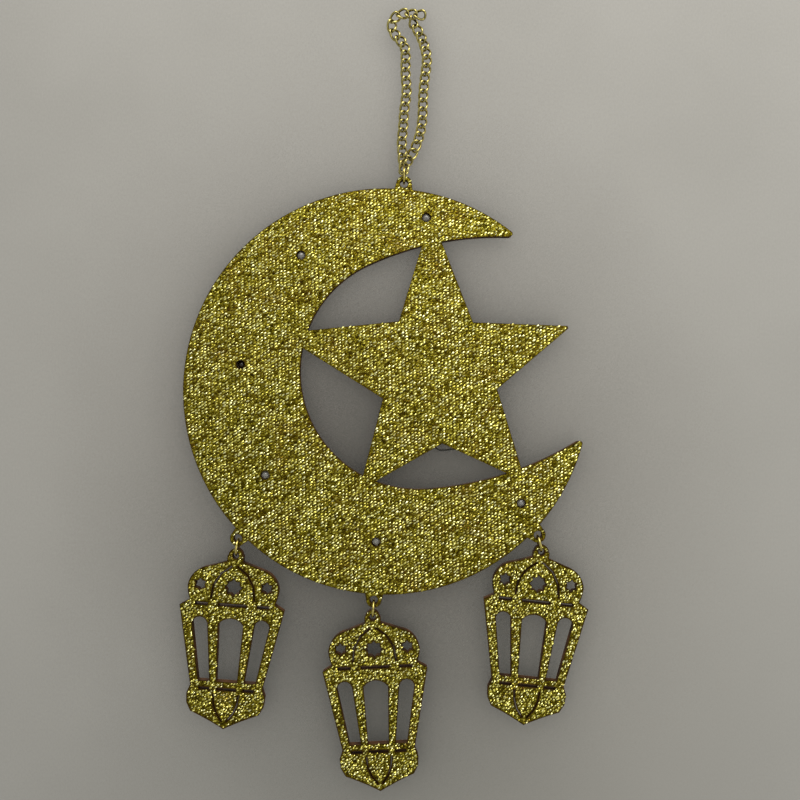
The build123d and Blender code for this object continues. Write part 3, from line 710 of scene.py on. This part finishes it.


# lamps: clear bulbs turned about their axis, the dome to the front; the deep-set bulb is coloured dark brown
# as painted shade in its hole
def turned(name, profile, sides):  # profile of (radius, depth) from one pole to the other
    work = bmesh.new()
    rings = []
    angles = [math.tau * k / sides for k in range(sides)]
    for radius, depth in profile:
        corners = [(0, depth, 0)]
        if radius > 0:
            corners = [(radius * math.cos(angle), depth, radius * math.sin(angle)) for angle in angles]
        rings.append([work.verts.new(corner) for corner in corners])
    for near, far in zip(rings, rings[1:]):
        for k in range(sides):
            after = (k + 1) % sides
            if len(near) == 1:
                work.faces.new((near[0], far[k], far[after]))
            elif len(far) == 1:
                work.faces.new((near[k], far[0], near[after]))
            else:
                work.faces.new((near[k], far[k], far[after], near[after]))
    bmesh.ops.recalc_face_normals(work, faces=work.faces)
    mesh = bpy.data.meshes.new(name)
    work.to_mesh(mesh)
    work.free()
    return mesh


def setOutTree():
    tree, start, end = newTree("setOut", ("Shape", "Object"), ("Finish", "Material"))
    shape = addNode(tree, "GeometryNodeObjectInfo")
    plug(tree, start["Shape"], shape.inputs["Object"])
    placed = placeOnPoints(tree, start["Geometry"], shape.outputs["Geometry"])
    closeTree(tree, end, placed, start["Finish"], True)
    return tree


setOut = setOutTree()
lamp = {"radius": 1.45 * mm, "tail": 2.05 * mm, "dome": 1.25 * mm, "chamfer": 0.12 * mm, "steps": 7,
        "sides": 28, "turn": 0.4}
lampPlaces = []
lampTips = []
for number in range(1, 7):
    low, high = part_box(f"lamp_{number}")
    lampPlaces.append(Vector(((low.x + high.x) / 2, 0, (low.z + high.z) / 2)))
    lampTips.append(low.y)


def setOutOnLamps(name, profile, look, chosen, finish):  # one turned shape at each chosen lamp
    shape = newObject(name + "_shape", turned(name + "_shape", profile, look["sides"]))
    turns = [(0, look["turn"] * k, 0) for k in chosen]
    places = pointMesh(name + "_places", [lampPlaces[k] for k in chosen], turns)
    mesh = grow(places, setOut, {"Shape": shape, "Finish": finishes[finish]})
    bpy.data.objects.remove(shape)
    return mesh


# the deep-set bulb takes the dark resin as painted shade
for name, finish, chosen in (("lamp_bulbs", "resin", [0, 1, 3, 4, 5]), ("lamp_bulb_deep", "deepResinShaded", [2])):
    tip = lampTips[chosen[0]]
    profile = [(0, tip)]
    for step in range(1, lamp["steps"] + 1):
        angle = math.pi / 2 * step / lamp["steps"]
        profile.append((lamp["radius"] * math.sin(angle), tip + lamp["dome"] * (1 - math.cos(angle))))
    profile.append((lamp["radius"], lamp["tail"] - lamp["chamfer"]))
    profile.append((lamp["radius"] - lamp["chamfer"], lamp["tail"]))
    profile.append((0, lamp["tail"]))
    mesh = setOutOnLamps(name, profile, lamp, chosen, finish)
    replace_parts(newPiece(name, mesh, "panel"), *[f"lamp_{k + 1}" for k in chosen])
dress("chip", "lamp_chips")
print("lamps made")


# the lamps' wire, from the box's floor out through its wall and round the crescent's back
wireRun = {
    "width": 0.6 * mm, "roundness": 3, "steps": 12,
    "points": [(9.8, 4.0, -123.2), (9.8, 4.0, -135.9), (10.2, 3.3, -140.9), (10.6, 2.4, -146.2),
               (13.2, 2.4, -148.9), (19.2, 2.4, -147.7), (26.8, 2.4, -149.9), (34.4, 2.4, -153.6),
               (41.73, 2.4, -157.57), (41.1, 2.4, -175.56), (0.24, 2.4, -180.49), (-17.72, 2.4, -179.27),
               (-41.9, 2.4, -164.25), (-52.13, 2.4, -149.44), (-57.08, 2.4, -127.54), (-53.8, 2.4, -109.84),
               (-42.24, 2.4, -85.7), (-26.98, 2.4, -76.16), (-0.11, 2.4, -65.95), (8.66, 2.4, -67.98)],
}
curve = bpy.data.curves.new("wireRun", "CURVE")
curve.dimensions = "3D"
curve.bevel_depth = wireRun["width"] / 2
curve.bevel_resolution = wireRun["roundness"]
curve.resolution_u = wireRun["steps"]
curve.use_fill_caps = True
line = curve.splines.new("NURBS")
line.points.add(len(wireRun["points"]) - 1)
for spot, (x, y, z) in zip(line.points, wireRun["points"]):
    spot.co = (x * mm, y * mm, z * mm, 1)
line.order_u = 3
line.use_endpoint_u = True
carrier = newObject("wireRun", curve)
wireMesh = plainMesh(carrier)
bpy.data.objects.remove(carrier)
for face in wireMesh.polygons:
    face.use_smooth = True
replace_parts(newPiece("lamp_wire_round", wireMesh, "panel", "wire"), "lamp_wire")
print("wire made")


# glue: a cooled drop over each lamp's tail
dab = {"radius": 3.4 * mm, "height": 1.95 * mm, "foot": 1.46 * mm, "footShare": 0.96, "bulge": 0.8,
       "steps": 9, "sides": 30, "turn": 0.9, "lump": 0.32 * mm, "lumpScale": 420, "dimple": 0.16 * mm,
       "dimpleScale": 600}
profile = [(0, dab["foot"]), (dab["radius"] * dab["footShare"], dab["foot"])]
for step in range(dab["steps"]):
    angle = math.pi / 2 * (step + 0.5) / dab["steps"]
    reach = dab["radius"] * math.cos(angle) ** dab["bulge"]
    profile.append((reach, dab["foot"] + dab["height"] * math.sin(angle)))
profile.append((0, dab["foot"] + dab["height"]))
dabs = setOutOnLamps("dab", profile, dab, range(len(lampPlaces)), "glue")
for corner in dabs.vertices:
    rise = min(1.0, max(0.0, (corner.co.y - dab["foot"]) / dab["height"]))
    nearest = min(lampPlaces, key=lambda place: (place.x - corner.co.x) ** 2 + (place.z - corner.co.z) ** 2)
    out = Vector((corner.co.x - nearest.x, 0, corner.co.z - nearest.z)).normalized()
    lump = noise.noise(corner.co * dab["lumpScale"]) * dab["lump"]
    dimple = rise * noise.noise(corner.co * dab["dimpleScale"]) * dab["dimple"]
    corner.co += out * lump + Vector((0, dimple, 0))
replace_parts(newPiece("glue_drops", dabs, "panel"), "glue_dabs")
print("glue made")


# moulded pieces keep their solid's form, with its sharp edges eased
def eased(node, width, body, finish):
    look = {"flat": math.radians(2), "sharp": math.radians(35), "crease": math.radians(40), "segments": 2}
    work = mergedCopy(node)
    bmesh.ops.dissolve_limit(work, angle_limit=look["flat"], verts=work.verts, edges=work.edges)
    mesh = bpy.data.meshes.new(node + "_eased")
    work.to_mesh(mesh)
    work.free()
    piece = newPiece(node + "_eased", mesh, body, finish)
    edge = piece.modifiers.new("easedEdge", "BEVEL")
    edge.width = width
    edge.segments = look["segments"]
    edge.limit_method = "ANGLE"
    edge.angle_limit = look["sharp"]
    mesh = plainMesh(piece)
    piece.modifiers.clear()
    piece.data = mesh
    for face in mesh.polygons:
        face.use_smooth = True
    mesh.set_sharp_from_angle(angle=look["crease"])
    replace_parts(piece, node)


easing = {
    "battery_case": (0.25 * mm, "panel", "box_plastic", "box"),
    "battery_lid": (0.12 * mm, "battery_lid", "box_plastic", "box"),
    "coin_cell_front": (0.2 * mm, "panel", "cell_can", "cell"),
    "coin_cell_rear": (0.2 * mm, "panel", "cell_can", "cell"),
    "switch_body": (0.12 * mm, "panel", "switch_plastic", "switch"),
    "switch_knob": (0.12 * mm, "switch_knob", "switch_plastic", "switch"),
}
for node, (width, body, slot, finish) in easing.items():
    eased(node, width, body, finish)
dress("foam", "foam_pad")
dress("contact", "contact_spring", "contact_strip")
print("moulded pieces made")


# the stage's two sheets face the camera and cast no shadow
def stageSheet(name, half, depth, material):
    corners = [(side * half, depth, rise * half + stageMiddle[2])
               for side, rise in ((-1, -1), (1, -1), (1, 1), (-1, 1))]
    mesh = bpy.data.meshes.new(name)
    mesh.from_pydata(corners, [], [(0, 1, 2, 3)])
    mesh.materials.append(material)
    sheet = newObject(name, mesh)
    sheet.visible_shadow = False


def closeness(tree, reach, strength):  # how far a sheet is shut in by what is near its front
    near = addNode(tree, "ShaderNodeAmbientOcclusion", samples=3)
    near.inputs["Distance"].default_value = reach
    return maths(tree, "MULTIPLY", maths(tree, "SUBTRACT", 1.0, near.outputs["AO"]), strength)


def fromFront(tree):
    return maths(tree, "SUBTRACT", 1.0, addNode(tree, "ShaderNodeNewGeometry").outputs["Backfacing"])


# a grey wall that the swinging panel stays clear of, seen from the front only
def backdrop():
    look = {"depth": 0.11, "half": 3.0, "paper": tint(168, 165, 159), "cloud": tint(158, 155, 149),
            "fibreScale": 1300.0, "fibreStretch": (1.0, 1.0, 0.6), "fibreLow": 0.3, "fibreHigh": 0.7,
            "fibreShare": 0.6, "cloudScale": 14.0,
            "shadePatch": tint(150, 147, 140), "shadePatchX": 0.035, "shadePatchWidth": 0.15, "shadePatchFoot": -0.3, "shadePatchHead": 0.08,
            "shadeReach": 0.155, "shadeDepth": 2.0}
    material, tree, shader = newFinish("wallPaper", Roughness=0.9, Specular_IOR_Level=0.1)
    fibre = useGroup(tree, mottle, Scale=look["fibreScale"], Stretch=look["fibreStretch"],
                     Low=look["fibreLow"], High=look["fibreHigh"])["Tone"]
    cloud = useGroup(tree, mottle, Scale=look["cloudScale"])["Tone"]
    cloud = maths(tree, "MULTIPLY", cloud, 1 - look["fibreShare"])
    shade = maths(tree, "MULTIPLY_ADD", fibre, look["fibreShare"], cloud)
    paper = mixColour(tree, shade, look["paper"], look["cloud"])
    # painted shade: the wall is darkened in a soft patch low in the middle
    place = splitXyz(tree, objectPlace(tree))
    aside = maths(tree, "DIVIDE", maths(tree, "SUBTRACT", place["X"], look["shadePatchX"]), look["shadePatchWidth"])
    band = maths(tree, "EXPONENT", maths(tree, "MULTIPLY", maths(tree, "MULTIPLY", aside, aside), -1.0))
    rise = mapRange(tree, place["Z"], look["shadePatchFoot"], look["shadePatchHead"], 1.0, 0.0, "SMOOTHSTEP")
    paper = mixColour(tree, maths(tree, "MULTIPLY", band, rise), paper, look["shadePatch"])
    # and shaded by what hangs before it
    paper = mixColour(tree, closeness(tree, look["shadeReach"], look["shadeDepth"]), paper, (0, 0, 0, 1))
    plug(tree, paper, shader.inputs["Base Color"])
    # seen by the camera, in shiny pieces and through clear ones
    path = addNode(tree, "ShaderNodeLightPath").outputs
    seen = maths(tree, "MAXIMUM", path["Is Camera Ray"], path["Is Glossy Ray"])
    seen = maths(tree, "MAXIMUM", seen, path["Is Transmission Ray"])
    outlet = shader.outputs[0].links[0].to_socket
    mixer = addNode(tree, "ShaderNodeMixShader")
    plug(tree, maths(tree, "MULTIPLY", seen, fromFront(tree)), mixer.inputs[0])
    plug(tree, addNode(tree, "ShaderNodeBsdfTransparent").outputs[0], mixer.inputs[1])
    plug(tree, shader.outputs[0], mixer.inputs[2])
    plug(tree, mixer.outputs[0], outlet)
    stageSheet("wall", look["half"], look["depth"], material)


# the close shadow of a hung piece: a clear sheet that is dark only where something is near its front
def nearShade():
    look = {"depth": 5.0 * mm, "half": 0.4, "reach": 0.017, "dark": 0.8}
    material, tree = blankMaterial("nearShade")
    path = addNode(tree, "ShaderNodeLightPath").outputs
    seen = maths(tree, "MULTIPLY", path["Is Camera Ray"], fromFront(tree))
    dark = maths(tree, "MULTIPLY", closeness(tree, look["reach"], look["dark"]), seen)
    clear = addNode(tree, "ShaderNodeBsdfTransparent")
    plug(tree, mixColour(tree, dark, (1, 1, 1, 1), (0, 0, 0, 1)), clear.inputs["Color"])
    plug(tree, clear.outputs[0], addNode(tree, "ShaderNodeOutputMaterial").inputs[0])
    stageSheet("nearShade", look["half"], look["depth"], material)


def areaLight(name, place, size, power, colour):
    light = bpy.data.lights.new(name, "AREA")
    light.shape = "DISK"
    light.size = size
    light.energy = power
    light.color = colour
    holder = newObject(name, light)
    holder.location = place
    holder.rotation_euler = (Vector(stageMiddle) - Vector(place)).to_track_quat("-Z", "Y").to_euler()


def studio():
    look = {"room": (0.86, 0.89, 0.87, 1), "roomLevel": 0.5}
    areaLight("keyLight", (0.12, -0.58, 0.56), 0.9, 8.8, (1.0, 0.98, 0.95))
    areaLight("fillLight", (0.75, -0.5, -0.25), 0.8, 1.6, (0.96, 0.98, 1.0))
    areaLight("backLight", (-0.4, 0.8, 0.5), 0.8, 7.0, (1.0, 0.99, 0.97))
    world = bpy.data.worlds.new("room")
    world.use_nodes = True
    ground = world.node_tree.nodes["Background"]
    ground.inputs[0].default_value = look["room"]
    ground.inputs[1].default_value = look["roomLevel"]
    scene.world = world


def photoCamera():
    look = {"distance": 0.285, "half": 0.13792, "x": -0.00044, "z": -0.13093, "face": -1.45 * mm}
    lens = bpy.data.cameras.new("camera")
    lens.sensor_width = 36
    lens.lens = lens.sensor_width / 2 * look["distance"] / look["half"]
    lens.clip_start = 0.01
    holder = newObject("camera", lens)
    holder.location = (look["x"], look["face"] - look["distance"], look["z"])
    holder.rotation_euler = (math.pi / 2, 0, 0)
    scene.camera = holder


backdrop()
nearShade()
studio()
photoCamera()
print("stage set")
